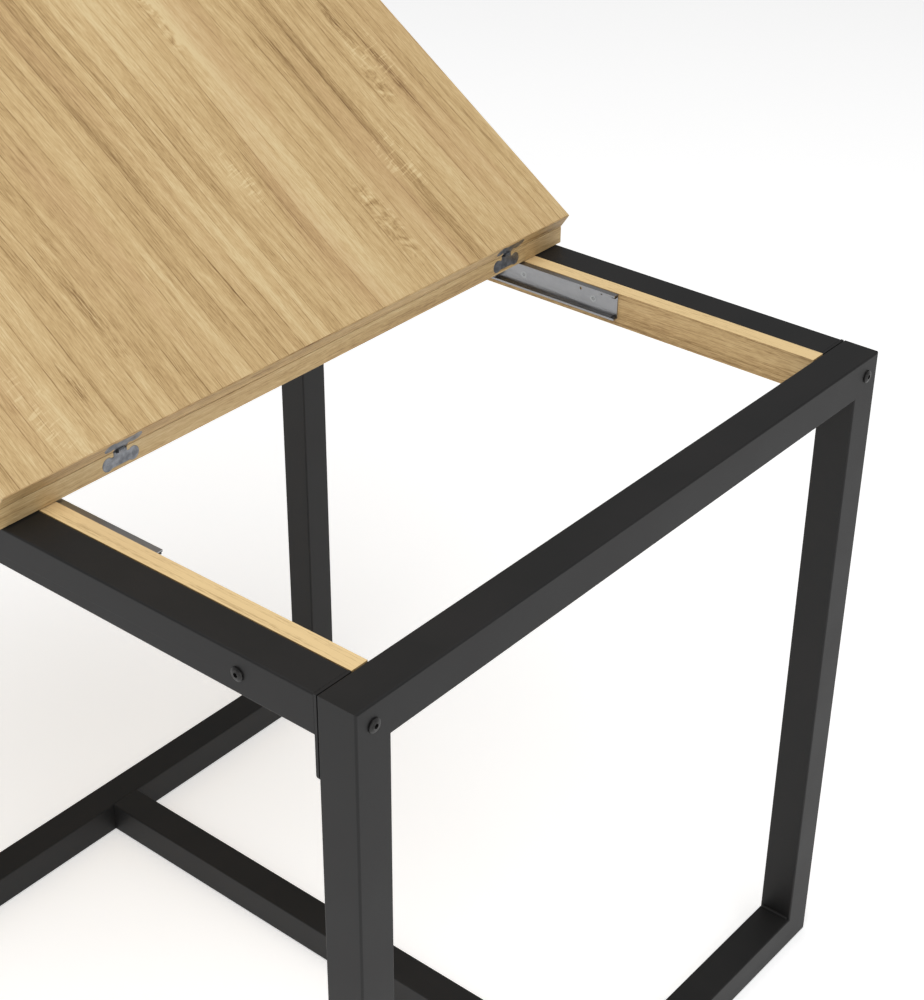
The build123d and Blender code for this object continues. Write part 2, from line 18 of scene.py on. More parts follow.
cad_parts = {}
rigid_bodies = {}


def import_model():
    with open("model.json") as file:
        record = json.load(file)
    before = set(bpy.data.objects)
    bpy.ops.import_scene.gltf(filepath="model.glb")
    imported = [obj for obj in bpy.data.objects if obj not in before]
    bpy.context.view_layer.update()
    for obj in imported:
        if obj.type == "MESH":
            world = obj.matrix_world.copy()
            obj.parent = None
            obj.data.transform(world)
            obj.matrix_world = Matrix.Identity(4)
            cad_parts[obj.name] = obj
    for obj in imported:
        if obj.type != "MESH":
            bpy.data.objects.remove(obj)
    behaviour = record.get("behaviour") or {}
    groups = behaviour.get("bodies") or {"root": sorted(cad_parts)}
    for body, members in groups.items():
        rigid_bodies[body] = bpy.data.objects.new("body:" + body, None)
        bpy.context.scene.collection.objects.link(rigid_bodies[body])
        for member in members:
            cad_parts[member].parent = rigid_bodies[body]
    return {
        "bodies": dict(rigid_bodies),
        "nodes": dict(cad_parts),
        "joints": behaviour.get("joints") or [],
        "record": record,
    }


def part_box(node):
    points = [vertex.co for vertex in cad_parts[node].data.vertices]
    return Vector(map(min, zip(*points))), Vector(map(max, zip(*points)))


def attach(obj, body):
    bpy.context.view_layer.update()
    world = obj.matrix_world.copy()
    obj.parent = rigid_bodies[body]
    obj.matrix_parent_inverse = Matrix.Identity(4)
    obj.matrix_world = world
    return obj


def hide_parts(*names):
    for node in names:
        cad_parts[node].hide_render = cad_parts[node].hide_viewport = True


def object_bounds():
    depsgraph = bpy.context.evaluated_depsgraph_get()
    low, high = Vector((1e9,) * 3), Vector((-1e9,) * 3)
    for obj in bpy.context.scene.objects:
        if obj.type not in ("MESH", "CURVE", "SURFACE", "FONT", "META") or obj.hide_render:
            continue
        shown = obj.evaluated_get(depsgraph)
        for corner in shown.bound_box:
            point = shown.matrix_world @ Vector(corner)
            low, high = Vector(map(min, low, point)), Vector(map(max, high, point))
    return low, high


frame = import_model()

MM = 0.001
cad_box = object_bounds()
print("bodies:", ", ".join(frame["bodies"]))
print("model box:", [[round(v, 4) for v in corner] for corner in cad_box])

# %% [markdown]
# ## The viewpoint
# A product picture is a choice of where the eye is, how far it tilts down, and how long the lens is. The
# camera stands off the near left corner, above the top, and looks down across it. Three angles say how it
# is held: how far it is turned, how far it looks down, and a slight roll. These numbers were solved
# outside this script, so they aren't round. The angles are turned into the camera's own axes, because a
# camera in Blender looks along its local minus Z with its local Y up.

# %% Camera
eye = Vector((1.14311, -1.18573, 1.58812))
azimuth, elevation, roll = radians(39.225), radians(31.227), radians(0.534)
focal_length_mm = 71.45
far_clip = 50

ahead = Vector((-sin(azimuth) * cos(elevation), cos(azimuth) * cos(elevation), -sin(elevation)))
level = Vector((cos(azimuth), sin(azimuth), 0))
upright = level.cross(ahead)
right = level * cos(roll) + upright * sin(roll)
up = upright * cos(roll) - level * sin(roll)

lens = bpy.data.cameras.new("product_camera")
lens.lens = focal_length_mm
lens.clip_end = far_clip
camera = bpy.data.objects.new("product_camera", lens)
camera.matrix_world = Matrix.Translation(eye) @ Matrix((right, up, -ahead)).transposed().to_4x4()
bpy.context.scene.collection.objects.link(camera)
bpy.context.scene.camera = camera
print("camera at", tuple(round(v, 3) for v in eye), "lens", lens.lens, "mm")

# %% [markdown]
# ## Nodes written as sentences
# Finishes and repeated parts are both made of nodes, and a node tree written out link by link is hard to
# read. One small class wraps an output socket, so that `1 - pores * 0.4` adds the Math nodes by itself. A
# second class is the tree: its `node` method adds any other node from its type, its settings, and what
# goes into its sockets.

# %% The wrapped socket
class Wire:
    """What comes out of a node. Arithmetic on it adds Math nodes."""

    def __init__(self, tree, socket):
        self.tree, self.socket = tree, socket

    def math(self, operation, *others):
        return self.tree.node("ShaderNodeMath", {"operation": operation}, dict(enumerate((self, *others))))

    def __add__(self, other):
        return self.math("ADD", other)

    def __sub__(self, other):
        return self.math("SUBTRACT", other)

    def __mul__(self, other):
        return self.math("MULTIPLY", other)

    def __truediv__(self, other):
        return self.math("DIVIDE", other)

    def __pow__(self, other):
        return self.math("POWER", other)

    def __neg__(self):
        return self.math("MULTIPLY", -1.0)

    def __radd__(self, other):
        return self.math("ADD", other)

    def __rmul__(self, other):
        return self.math("MULTIPLY", other)

    def __rsub__(self, other):
        return self.tree.node("ShaderNodeMath", {"operation": "SUBTRACT"}, {0: other, 1: self})

    def ramp(self, low, high):
        """0 below low, 1 above high, and a smooth step between them. With low above high it falls instead."""
        if low > high:
            return 1.0 - self.ramp(high, low)
        sockets = {"Value": self, "From Min": low, "From Max": high}
        return self.tree.node("ShaderNodeMapRange", {"interpolation_type": "SMOOTHSTEP"}, sockets)


# %% The tree
class Nodes:
    """A node tree that is filled from Python, for a finish or for a modifier."""

    def __init__(self, tree):
        self.tree = tree

    def node(self, kind, settings=None, sockets=None, out=0):
        """out is the output's number or name."""
        made = self.tree.nodes.new(kind)
        for key, value in (settings or {}).items():
            setattr(made, key, value)
        for key, value in (sockets or {}).items():
            self.plug(made.inputs[key], value)
        return Wire(self, made.outputs[out])

    def plug(self, socket, value):
        if isinstance(value, Wire):
            self.tree.links.new(value.socket, socket)
        elif value is not None:
            socket.default_value = value

    def vector(self, x=0.0, y=0.0, z=0.0):
        return self.node("ShaderNodeCombineXYZ", None, {0: x, 1: y, 2: z})

    def parts(self, vector):
        split = self.node("ShaderNodeSeparateXYZ", None, {0: vector})
        return [Wire(self, output) for output in split.socket.node.outputs]

    def mix(self, share, first, second):
        """A colour that goes from first to second as share goes from 0 to 1. Sockets 6 and 7 take colours."""
        return self.node("ShaderNodeMix", {"data_type": "RGBA"}, {0: share, 6: first, 7: second}, out=2)

    def noise(self, vector, scale=1.0, detail=2.0, roughness=0.5, distortion=0.0):
        sockets = {"Vector": vector, "Scale": scale, "Detail": detail, "Roughness": roughness,
                   "Distortion": distortion}
        return self.node("ShaderNodeTexNoise", {"normalize": True}, sockets)


# %% [markdown]
# A colour picked from a swatch is in screen values. Shaders work in linear light, so a swatch written as
# six hexadecimal digits is converted once, in Python.

# %% Swatches
def swatch(digits):
    channels = [int(digits[i:i + 2], 16) / 255 for i in (0, 2, 4)]
    return tuple(c / 12.92 if c <= 0.04045 else ((c + 0.055) / 1.055) ** 2.4 for c in channels) + (1.0,)


# %% A finish
class Finish(Nodes):
    """A material. What varies over the surface is linked, and what doesn't is set on the shader itself."""

    def __init__(self, name, **constants):
        self.material = bpy.data.materials.new(name)
        self.material.use_nodes = True
        super().__init__(self.material.node_tree)
        self.shader = self.tree.nodes["Principled BSDF"]
        for socket, value in constants.items():
            self.shader.inputs[socket.replace("_", " ")].default_value = value
        self.place = self.node("ShaderNodeTexCoord", out="Object")

    def colour(self, value):
        self.plug(self.shader.inputs["Base Color"], value)

    def roughness(self, value):
        self.plug(self.shader.inputs["Roughness"], value)

    def bump(self, height, depth, strength=1.0):
        """height from 0 to 1 stands for a relief as deep as depth, in metres."""
        sockets = {"Height": height, "Distance": depth, "Strength": strength}
        self.plug(self.shader.inputs["Normal"], self.node("ShaderNodeBump", None, sockets))
        return self.material


# %% [markdown]
# ## The powder coat
# The frame is sprayed with dry black powder that melts into a skin. Up close it has a fine orange-peel
# texture and is neither glossy nor dead flat. A noise of about a millimetre gives the peel, a far larger
# one lets the gloss drift a little along a tube, and the colour follows both, so that no face is one flat
# black.

# %% Powder coat
def powder_coat():
    f = Finish("black_powder_coat", Specular_IOR_Level=0.29)
    peel = f.noise(f.place, 1100, 3, 0.6)
    drift = f.noise(f.place, 14, 3, 0.55)
    specks = f.noise(f.place, 2600, 1, 0.5)
    tone = f.mix(drift.ramp(0.3, 0.7), swatch("171717"), swatch("1c1b1b"))
    f.colour(f.mix(specks.ramp(0.62, 0.8) * 0.3, tone, swatch("3a3837")))
    f.roughness(0.44 + drift * 0.12 + peel * 0.06)
    return f.bump(peel, 0.05 * MM, 0.6)


# %% Blackened bolts
def black_oxide():
    f = Finish("black_oxide", Metallic=0.6)
    handled = f.noise(f.place, 350, 3, 0.6)
    f.colour(f.mix(handled.ramp(0.35, 0.75), swatch("1d1c1c"), swatch("3a3938")))
    f.roughness(0.3 + handled * 0.2)
    return f.bump(f.noise(f.place, 2200, 2), 0.02 * MM, 0.5)


# %% [markdown]
# ## The oak print
# The boards are chipboard under a printed, pressed paper: pale oak laid as narrow strips, all running one
# way. The print has these things in it, each at its own scale.
#
# - the strips, each a little paler or browner than the next, with a thin broken line where two meet
# - soft brown streaks a hand long, with thinner and darker veins among them
# - the grain itself: hair-fine pores, one to a few centimetres long
# - faint reddish clouds, and darker smudges along the grain
# - patches of short pale marks across the grain, which are the saw's and the oak's own flecks
# - a few places where the grain curls round a knot
#
# The pattern reads object coordinates, so its scale is real. `along` runs with the grain and `across`
# over it. On the leaf the coordinates are first turned back by the angle that it is raised by, so the
# print lies in its plane.

# %% The leaf's hinge, from the model
leaf_joint = next(joint for joint in frame["joints"] if joint["child"] == "leaf")
hinge_line = Vector(leaf_joint["pos_m"])
leaf_angle = -radians(leaf_joint["range_deg"][0])
print("leaf raised by", round(leaf_angle * 180 / pi, 1), "degrees about", tuple(hinge_line))

# %% Oak colours, from palest to darkest
# The palest swatch is for the aprons' top and bottom faces: partly a paler banding, partly painted light on
# the up-facing top edges.
oak_banding_and_painted_light = swatch("e3c692")
oak_cream = swatch("d6bf91")
oak_straw = swatch("cbaf7f")
oak_honey = swatch("bea070")
oak_brown = swatch("a98b5d")
oak_pore = swatch("8d6f46")
oak_knot = swatch("735533")
oak_blush = swatch("bf9a72")


# %% The oak print
def oak_print(name, raised=0.0, seed=0.0, crossways=False, strips=15.0, depth=0.27, pale=oak_cream,
              knots=(), smudges=(), flecks=()):
    """knots, smudges and flecks are (along, across, length, width) in metres on the board lying flat."""
    f = Finish(name, Specular_IOR_Level=0.35)
    flat = f.node("ShaderNodeVectorMath", {"operation": "SUBTRACT"}, {0: f.place, 1: tuple(hinge_line)})
    turned = {"Vector": flat, "Rotation": (0, -raised, 0)}
    flat = f.node("ShaderNodeMapping", {"vector_type": "POINT"}, turned)
    along, across, through = f.parts(flat)
    if crossways:
        along, across = across, along

    # A feature is about as long as 1 over the number next to `along` or `across`, in metres.
    wander = f.noise(f.vector(along * 2.2, across * 7.0, seed), 1.0, 1, 0.5) - 0.5
    lane = across + through + wander * 0.02
    lanes = {"W": lane * strips + seed * 3.7}
    cells = f.node("ShaderNodeTexVoronoi", {"voronoi_dimensions": "1D"}, lanes, out="Color")
    edge = {"voronoi_dimensions": "1D", "feature": "DISTANCE_TO_EDGE"}
    border = f.node("ShaderNodeTexVoronoi", edge, lanes)
    picked = f.parts(cells)[0]

    broad = f.noise(f.vector(along * 1.5, lane * 13.0, seed + 5), 1.0, 2, 0.5)
    streak = f.noise(f.vector(along * 3.2, lane * 66.0, seed + 11), 1.0, 4, 0.62)
    grain = f.noise(f.vector(along * 34.0, lane * 620.0, through * 60 + seed), 1.0, 2, 0.6)
    hair = f.noise(f.vector(along * 110.0, lane * 1400.0, through * 200 + seed), 1.0, 2, 0.6)
    vein = f.noise(f.vector(along * 4.5, lane * 190.0, seed + 51), 1.0, 3, 0.6)
    blush = f.noise(f.vector(along * 2.4, lane * 16.0, seed + 63), 1.0, 2, 0.5)

    # depth is how dark the print is. A noise is 0.5 on average, and the number after it is how far it counts.
    depth = depth + picked * 0.2 + (broad - 0.5) * 0.8 + (streak - 0.5) * 0.9
    depth = depth + (grain - 0.5) * 0.7 + (hair - 0.5) * 0.9
    depth = depth + vein.ramp(0.57, 0.74) * 0.3 + border.ramp(0.06, 0.0) * streak.ramp(0.34, 0.56) * 0.4

    for place in smudges:
        near = spot(along, across + wander * 0.01, place).ramp(1.0, 0.0)
        depth = depth + near * (grain + hair - 0.55) * 0.85
    for place in knots:
        near = (spot(along, across, place) + (streak - 0.5) * 0.9).ramp(1.0, 0.45)
        curl = f.noise(f.vector(along * 62.0, across * 64.0, seed + 71), 1.0, 2, 0.5, 1.9)
        depth = depth + near * (0.1 + (curl - 0.52) * 1.5)
    nick = f.noise(f.vector(along * 330.0 + across * 70.0, across * 48.0, seed + 91), 1.0, 1, 0.5)
    for place in flecks:
        near = (spot(along, across, place) + (streak - 0.5) * 2.2).ramp(1.0, 0.25)
        depth = depth - near * (0.06 + nick.ramp(0.55, 0.66) * 0.34)

    colour = f.mix(depth.ramp(0.02, 0.3), pale, oak_straw)
    colour = f.mix(depth.ramp(0.24, 0.5), colour, oak_honey)
    colour = f.mix(depth.ramp(0.44, 0.72), colour, oak_brown)
    colour = f.mix(depth.ramp(0.66, 0.92), colour, oak_pore)
    colour = f.mix(depth.ramp(0.88, 1.15), colour, oak_knot)
    colour = f.mix(blush.ramp(0.52, 0.7) * 0.22, colour, oak_blush)
    f.colour(colour)
    f.roughness(0.5 + grain * 0.16)
    return f.bump(1.0 - grain.ramp(0.5, 0.8) * 0.6 - hair.ramp(0.6, 0.8) * 0.4, 0.03 * MM, 0.35)


def spot(along, across, place):
    """0 at the middle of an oval on the board, 1 at its rim."""
    at_along, at_across, length, width = place
    u, v = (along - at_along) / length, (across - at_across) / width
    return (u * u + v * v) ** 0.5


# %% [markdown]
# ## Metals
# Three steels, told apart by what was done to them. The runners are rolled from zinc-plated strip, so
# fine lines run along them and the zinc clouds a little. The hinges are stamped and nickel plated,
# darker, with tumbling marks in all directions. The screws are bright zinc, but for the hinges' own,
# which match the hinges.

# %% Rolled runner steel
def rolled_zinc():
    f = Finish("rolled_zinc", Metallic=1.0)
    x, y, z = f.parts(f.place)
    lines = f.noise(f.vector(x * 6, y * 2600, z * 2600), 1.0, 3, 0.6)
    cloud = f.noise(f.place, 60, 3, 0.6)
    f.colour(f.mix(cloud * 0.7 + lines * 0.3, swatch("8c8d90"), swatch("a8a9ab")))
    f.roughness(0.26 + lines * 0.16 + cloud * 0.08)
    return f.bump(lines, 0.01 * MM, 0.4)


# %% Stamped hinge steel
def stamped_nickel():
    f = Finish("stamped_nickel", Metallic=1.0)
    tumbled = f.noise(f.place, 900, 4, 0.7)
    cloud = f.noise(f.place, 150, 2, 0.5)
    f.colour(f.mix(cloud.ramp(0.3, 0.7), swatch("6c6e72"), swatch("8c8e92")))
    f.roughness(0.3 + tumbled * 0.2)
    return f.bump(tumbled, 0.02 * MM, 0.5)


# %% Bright zinc, polished balls
def bright_zinc():
    f = Finish("bright_zinc", Metallic=1.0)
    cloud = f.noise(f.place, 500, 3, 0.6)
    f.colour(f.mix(cloud, swatch("949698"), swatch("b4b6b6")))
    f.roughness(0.25 + cloud * 0.15)
    return f.bump(cloud, 0.01 * MM, 0.4)


def polished_steel():
    f = Finish("polished_steel", Metallic=1.0)
    film = f.noise(f.place, 700, 2, 0.5)
    f.colour(f.mix(film, swatch("c9cbce"), swatch("dfe0e1")))
    f.roughness(0.08 + film * 0.08)
    return f.bump(film, 0.004 * MM, 0.3)


# %% Moulded plastics
def moulded(name, dark, light, rough):
    f = Finish(name)
    flow = f.noise(f.place, 220, 3, 0.6)
    f.colour(f.mix(flow, swatch(dark), swatch(light)))
    f.roughness(rough + flow * 0.12)
    return f.bump(f.noise(f.place, 1600, 2), 0.02 * MM, 0.5)


# %% [markdown]
# ## Where the prints are marked
# Knots, smudges and flecks fall where they like on real oak. Here they are drawn by chance with a fixed
# seed, so a board comes out the same each time. Each kind has one mark in each of equal bands along the
# board, because plain chance would leave some of it bare.

# %% Marks on a board
# How many of each kind a board has, and their usual length and width in metres
mark_kinds = {"knots": (6, 0.055, 0.015), "smudges": (8, 0.070, 0.008), "flecks": (10, 0.065, 0.023)}
# A mark is this much of its kind's usual length and width, and lies at most this far to a side, by the
# board's width
length_range, width_range, side_reach = (0.7, 1.4), (0.7, 1.3), 0.45


def strewn(seed):
    """Knots, smudges and flecks over a board, one of a kind in each of equal bands along it."""
    draw = random.Random(seed)
    low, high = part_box("lower_board")
    board_length, board_width = high.x - low.x, high.y - low.y
    marks = {}
    for kind, (count, usual_length, usual_width) in mark_kinds.items():
        marks[kind] = []
        for band in range(count):
            along = (band + draw.random()) / -count * board_length
            across = draw.uniform(-side_reach, side_reach) * board_width
            length = usual_length * draw.uniform(*length_range)
            width = usual_width * draw.uniform(*width_range)
            marks[kind].append((along, across, length, width))
    return marks


# %% All the finishes
finishes = {
    "black_frame": powder_coat(),
    "black_bolts": black_oxide(),
    "runner_steel": rolled_zinc(),
    "hinge_steel": stamped_nickel(),
    "zinc": bright_zinc(),
    "ball_steel": polished_steel(),
    "cage_plastic": moulded("cage_plastic", "c9c8c2", "dcdbd5", 0.42),
    "black_plastic": moulded("black_plastic", "141414", "242424", 0.4),
    "leaf_oak": oak_print("leaf_oak", leaf_angle, 1.0, **strewn(5)),
    "board_oak": oak_print("board_oak", 0.0, 4.0, **strewn(9)),
    # The aprons' print is set darker than the boards' (depth 0.54): painted shade for their inner faces.
    "apron_oak": oak_print("apron_oak", 0.0, 7.0, strips=40.0, depth=0.54),
    # The aprons' and battens' top and bottom faces are printed paler: partly a paler banding, partly painted
    # light on the up-facing top edges.
    "apron_edge": oak_print("apron_edge", 0.0, 9.0, strips=60.0, depth=-0.06, pale=oak_banding_and_painted_light),
    # The leaf's end band is printed darker than the board's (depth 0.42): painted shade for its
    # downward-facing near edge.
    "leaf_end_band": oak_print("leaf_end_band", leaf_angle, 12.0, crossways=True, strips=60.0, depth=0.42),
    "board_end_band": oak_print("board_end_band", 0.0, 15.0, crossways=True, strips=60.0),
}
print(len(finishes), "finishes")

# %% [markdown]
# ## Which finish each part takes
# The record names a material slot for every node, so the finish follows from it. The boards are the
# exception: the print on the leaf is turned with it. The hinges' screws take the hinges' finish.

# %% Finishes on the model's nodes
slot_of = {part["node"]: part["material_slot"] for part in frame["record"]["subparts"]}
body_of = {node: body for body, nodes in frame["record"]["behaviour"]["bodies"].items() for node in nodes}


def finish_for(node):
    slot, owner = slot_of[node], "leaf" if body_of[node] == "leaf" else "board"
    if slot == "oak_laminate":
        return finishes[owner + "_oak" if "board" in node else "apron_oak"]
    if slot == "edge_band":
        return finishes[owner + "_end_band"]
    if "hinge_screws" in node:
        return finishes["hinge_steel"]
    return finishes[slot]


for name, shape in frame["nodes"].items():
    shape.data.materials.clear()
    shape.data.materials.append(finish_for(name))

# %% [markdown]
# ## Edges that catch the light
# An engineer's model has knife edges. Real boards have their arrises eased with fine paper, and stamped
# plate comes off the press with a small round. A shape whose node is already right is copied: its loose
# triangles are merged, flat areas are made whole again, and a Bevel modifier rounds only the real edges.
# The frame's tubes keep their nodes, because their corners are already rounded and their mitres are
# ground flush.

# %% A node's mesh, made whole
merge_within, flat_within = 0.002 * MM, radians(0.5)


def whole_mesh(node):
    build = bmesh.new()
    build.from_mesh(frame["nodes"][node].data)
    bmesh.ops.remove_doubles(build, verts=build.verts, dist=merge_within)
    bmesh.ops.dissolve_limit(build, angle_limit=flat_within, verts=build.verts, edges=build.edges)
    return build


# %% Touching solids, taken apart
def take_apart(build):
    """Bands that meet at a corner share an edge there, and rounding a shared edge would push it outwards."""
    for start in list(build.faces):
        if not start.is_valid or start.tag:
            continue
        group, start.tag = [start], True
        for face in group:
            near = [edge.link_faces for edge in face.edges if len(edge.link_faces) == 2]
            for other in (other for pair in near for other in pair if not other.tag):
                other.tag = True
                group.append(other)
        for face in bmesh.ops.split(build, geom=group)["geom"]:
            face.tag = True


# %% A piece in its place
def settle(piece, node):
    """Stands a piece in for a node: its body, and the node hidden."""
    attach(piece, body_of[node])
    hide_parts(node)


# %% Softened copies
# Edges sharper than the first angle are shaded as edges, and those sharper than the second are rounded
shaded_past, rounded_past = radians(32), radians(40)
# Faces further out than this from a board's side belong to its long band
long_band_depth = 1.05 * MM
# A face whose normal is nearer to upright than this faces up or down
upright_share = 0.7


def soften(node, radius):
    build = whole_mesh(node)
    take_apart(build)
    mesh = bpy.data.meshes.new(node + "_softened")
    build.to_mesh(mesh)
    build.free()
    mesh.polygons.foreach_set("use_smooth", [True] * len(mesh.polygons))
    mesh.set_sharp_from_angle(angle=shaded_past)
    mesh.materials.append(finish_for(node))
    piece = bpy.data.objects.new(node + "_softened", mesh)
    bpy.context.scene.collection.objects.link(piece)
    bevel = piece.modifiers.new("eased_edges", "BEVEL")
    bevel.width, bevel.segments = radius, 2
    bevel.limit_method, bevel.angle_limit = "ANGLE", rounded_past
    bevel.use_clamp_overlap, bevel.harden_normals = False, True
    settle(piece, node)
    return piece


def band_finishes(piece, node):
    """The long bands take the board's own print, the end bands one that runs along them."""
    owner = "leaf" if body_of[node] == "leaf" else "board"
    piece.data.materials.append(finishes[owner + "_oak"])
    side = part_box(node)[1].y - long_band_depth
    for face in piece.data.polygons:
        face.material_index = int(abs(face.center.y) > side)


def paler_banding_and_painted_light(piece):
    """Top and bottom faces of an apron or batten take a paler print: paler banding, and painted light on the
    top edges.
    """
    piece.data.materials.append(finishes["apron_edge"])
    for face in piece.data.polygons:
        face.material_index = int(abs(face.normal.z) > upright_share)


# How much each kind of part is eased, in millimetres. On the hinge plates' small ears this much makes the
# lower and the upper plate cross a little.
paired = {"apron": 0.4, "batten": 0.4, "rail_end_plates": 0.3,
          "hinge_lower_plate": 0.15, "hinge_upper_plate": 0.15,
          "runner_outer": 0.15, "runner_middle": 0.15, "runner_inner": 0.15}
eased = {side + node: radius for node, radius in paired.items() for side in ("left_", "right_")}
eased |= {"leaf_edge_bands": 0.22, "lower_board_edge_bands": 0.22, "raceway_bumpers": 0.3,
          "stretcher_end_plates": 0.15}
for node, radius in eased.items():
    piece = soften(node, radius * MM)
    if "edge_bands" in node:
        band_finishes(piece, node)
    elif node.endswith(("apron", "batten")):
        paler_banding_and_painted_light(piece)
print("softened", len(eased), "parts")

# %% [markdown]
# ## Reading fasteners from the model
# A node such as `rail_bolts` holds several solids. Each is turned about its own axis, which is the
# direction in which its points spread most. The widest ring is the head, and its lower rim is the seat.
# That is enough to place a detailed bolt: where it sits, which way it faces, and its sizes.

# %% Separate solids of a node
import numpy as np


def solids_of(node):
    build = whole_mesh(node)
    seen, groups = set(), []
    for start in build.verts:
        if start in seen:
            continue
        group, edge_of_group = [], [start]
        seen.add(start)
        while edge_of_group:
            vertex = edge_of_group.pop()
            group.append(vertex.co.copy())
            for link in vertex.link_edges:
                other = link.other_vert(vertex)
                if other not in seen:
                    seen.add(other)
                    edge_of_group.append(other)
        groups.append(np.array(group))
    build.free()
    return groups


# %% Where a fastener sits
# Points further out than this share of the head's radius are on its rim
rim_share = 0.985


def seats_of(node):
    seats = []
    for points in solids_of(node):
        middle = points.mean(0)
        axis = np.linalg.svd(points - middle, full_matrices=False)[2][0]
        run = (points - middle) @ axis
        across = np.linalg.norm(points - middle - np.outer(run, axis), axis=1)
        rim = run[across > across.max() * rim_share]
        if rim.mean() < (run.min() + run.max()) / 2:
            axis, run, rim = -axis, -run, -rim
        lower_half = run < run.min() + (run.max() - run.min()) * 0.5
        seats.append({"seat": middle + axis * rim.min(), "facing": axis, "head": across.max(),
                      "shank": across[lower_half].max(), "above": run.max() - rim.min(),
                      "below": rim.min() - run.min()})
    return seats


# %% [markdown]
# ## Geometry Nodes for what repeats
# A bolt is made once and placed many times. Geometry Nodes suit that: the tree builds one bolt from named
# sizes, sets it on every point it is given, turned to that point's `facing`, and ends in real mesh with
# its finish. A mesh of bare points carries the places. The result is taken from the evaluated object as a
# plain mesh.

# %% A modifier's tree
class Grower(Nodes):
    """A Geometry Nodes tree with named sizes."""

    def __init__(self, name, sizes):
        super().__init__(bpy.data.node_groups.new(name, "GeometryNodeTree"))
        face = self.tree.interface
        face.new_socket("Geometry", in_out="INPUT", socket_type="NodeSocketGeometry")
        for label, value in sizes.items():
            kind = "NodeSocketInt" if isinstance(value, int) else "NodeSocketFloat"
            face.new_socket(label, in_out="INPUT", socket_type=kind).default_value = value
        face.new_socket("Finish", in_out="INPUT", socket_type="NodeSocketMaterial")
        face.new_socket("Geometry", in_out="OUTPUT", socket_type="NodeSocketGeometry")
        self.given = self.tree.nodes.new("NodeGroupInput")
        self.made = self.tree.nodes.new("NodeGroupOutput")

    def size(self, label):
        return Wire(self, self.given.outputs[label])

    def move(self, shape, z):
        sockets = {"Geometry": shape, "Translation": self.vector(0, 0, z)}
        return self.node("GeometryNodeTransform", None, sockets)

    def cylinder(self, radius, depth, vertices, rings=1):
        settings = {"fill_type": "TRIANGLE_FAN"}
        sockets = {"Vertices": vertices, "Fill Segments": rings, "Radius": radius, "Depth": depth}
        return self.node("GeometryNodeMeshCylinder", settings, sockets)

    def cut(self, shape, *tools):
        """Takes one tool after another, because overlapping tools cancel out where they cross."""
        settings = {"operation": "DIFFERENCE", "solver": "EXACT"}
        for tool in tools:
            shape = self.node("GeometryNodeMeshBoolean", settings, {"Mesh 1": shape, "Mesh 2": tool})
        return shape

    def join(self, *shapes):
        joined = self.node("GeometryNodeJoinGeometry")
        for shape in shapes:
            self.plug(joined.socket.node.inputs[0], shape)
        return joined

    def finish(self, shape):
        real = self.node("GeometryNodeRealizeInstances", None, {"Geometry": shape})
        done = self.node("GeometryNodeSetMaterial", None, {"Geometry": real, "Material": self.size("Finish")})
        self.plug(self.made.inputs["Geometry"], done)
        return self.tree

    def on_each_point(self, shape):
        arrows = {"data_type": "FLOAT_VECTOR"}
        facing = self.node("GeometryNodeInputNamedAttribute", arrows, {"Name": "facing"})
        turned = self.node("FunctionNodeAlignRotationToVector", {"axis": "Z"}, {"Vector": facing})
        sockets = {"Points": self.size("Geometry"), "Instance": shape, "Rotation": turned}
        return self.finish(self.node("GeometryNodeInstanceOnPoints", None, sockets))


# %% Running a tree on points or lines
def grow(name, tree, points, lines, facings, sizes, node, smooth=35):
    """One plain mesh from the tree, standing in for a node."""
    mesh = bpy.data.meshes.new(name + "_places")
    mesh.from_pydata([tuple(point) for point in points], lines, [])
    if facings:
        kept = mesh.attributes.new("facing", "FLOAT_VECTOR", "POINT")
        kept.data.foreach_set("vector", [float(v) for facing in facings for v in facing])
    holder = bpy.data.objects.new(name + "_places", mesh)
    bpy.context.scene.collection.objects.link(holder)
    maker = holder.modifiers.new("grow", "NODES")
    maker.node_group = tree
    sizes = dict(sizes, Finish=finish_for(node))
    for item in tree.interface.items_tree:
        if item.in_out == "INPUT" and item.name in sizes:
            maker[item.identifier] = sizes[item.name]
    view = bpy.context.evaluated_depsgraph_get()
    grown = bpy.data.meshes.new_from_object(holder.evaluated_get(view))
    bpy.data.objects.remove(holder)
    grown.polygons.foreach_set("use_smooth", [True] * len(grown.polygons))
    grown.set_sharp_from_angle(angle=radians(smooth))
    piece = bpy.data.objects.new(name, grown)
    bpy.context.scene.collection.objects.link(piece)
    settle(piece, node)
    print(name, len(points), "places,", len(grown.polygons), "faces")


# %% [markdown]
# ## Bolts and screws
# Three fasteners hold the table. The black button-head bolts have a low dome and a hexagon socket. The
# wood screws are countersunk with a cross recess, and the ones through the runners' inner members have a
# low pan head. All have a thread: a three-sided wire wound round the shank on a spiral curve. A dome is a
# flat disc whose rings are lowered by their distance from the middle, and each recess is cut with a
# Boolean node.

# %% Parts of a fastener
# How far a dome falls from crown to rim, by its height, and how long a cross recess is, by its width
dome_fall, recess_length = 0.55, 4.2
# How much of the shank is threaded and how far down the thread starts, by its length, and the wire's
# radius by the pitch
threaded_share, thread_start, wire_share = 0.6, 0.97, 0.3


def domed_head(g):
    radius, height = g.size("Head radius"), g.size("Head height")
    disc = g.move(g.cylinder(radius, height, vertices=28, rings=5), height / 2.0)
    x, y, z = g.parts(g.node("GeometryNodeInputPosition"))
    out = (x * x + y * y) / (radius * radius)
    dome = height * (1.0 - out * dome_fall)
    top = z.math("GREATER_THAN", height * 0.5)
    return g.node("GeometryNodeSetPosition", None,
                  {"Geometry": disc, "Selection": top, "Position": g.vector(x, y, dome)})


